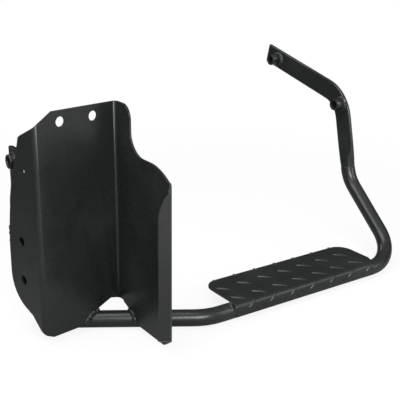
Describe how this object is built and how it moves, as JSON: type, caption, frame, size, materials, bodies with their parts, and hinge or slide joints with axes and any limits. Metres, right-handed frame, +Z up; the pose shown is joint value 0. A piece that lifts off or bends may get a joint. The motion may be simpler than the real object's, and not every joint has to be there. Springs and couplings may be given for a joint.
{
  "type": "truck cab step",
  "caption": "Black coated steel cab step: a checker plate tread on a bent tube with bolt spacers at its flattened ends and a tall folded side bracket.",
  "frame": {"origin": "centre of the arm end spacer's mouth, the face that meets the cab", "axes": "+X along the tread from the bracket to the riser, +Y from the tread's front edge towards the cab's rear, +Z up"},
  "size_m": [0.6597, 0.428, 0.343],
  "materials": {
    "bracket": "satin powder coat",
    "tube": "satin powder coat",
    "tread": "satin powder coat",
    "spacer": "satin powder coat",
    "weld": "satin powder coat over the weld bead"
  },
  "bodies": {
    "root": {"side_bracket": "bracket", "step_tube": "tube", "tread_plate": "tread", "flange_weld": "weld", "tread_weld_1": "weld", "tread_weld_2": "weld", "tread_weld_3": "weld", "notch_weld_web": "weld", "notch_weld_wing": "weld", "arm_end_spacer": "spacer", "arm_end_spacer_weld": "weld", "elbow_spacer": "spacer", "elbow_spacer_weld": "weld", "left_end_spacer": "spacer", "left_end_spacer_weld": "weld"}
  },
  "joints": []
}
